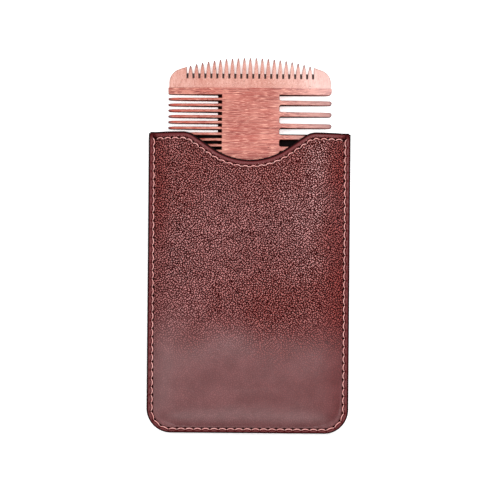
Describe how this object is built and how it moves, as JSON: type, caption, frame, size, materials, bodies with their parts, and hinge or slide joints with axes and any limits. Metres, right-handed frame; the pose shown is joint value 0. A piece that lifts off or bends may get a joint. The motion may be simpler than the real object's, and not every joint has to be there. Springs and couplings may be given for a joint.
{
  "type": "beard comb",
  "caption": "Wooden beard comb with teeth on all sides, sliding in a flat stitched leather sleeve with a thumb notch.",
  "frame": {"origin": "under the middle of the whole part, on the surface that it lies on", "axes": "+X across the part, +Y along it towards the comb's drawn-out head, +Z from the sleeve's flat back to its front"},
  "size_m": [0.081, 0.1502, 0.01],
  "materials": {
    "sleeve_leather": "pebbled, semi-gloss, burgundy",
    "sleeve_lining": "matt black",
    "thread": "waxed, salmon pink",
    "dark_thread": "waxed, black",
    "comb_wood": "polished, grain across the comb",
    "comb_end_wood": "polished, grain along the comb"
  },
  "bodies": {
    "sleeve": {"back_panel": "sleeve_leather", "back_lining": "sleeve_lining", "front_lining": "sleeve_lining", "front_panel": "sleeve_leather", "seam_thread": "thread", "seam_bobbin_thread": "thread", "mouth_thread": "thread", "mouth_bobbin_thread": "dark_thread"},
    "comb": {"comb_body": "comb_wood", "comb_head": "comb_end_wood", "comb_foot": "comb_end_wood"}
  },
  "joints": [
    {"name": "comb_slide", "type": "slide", "parent": "sleeve", "child": "comb", "axis": [0, 1, 0], "range_m": [-0.033, 0.082]}
  ]
}
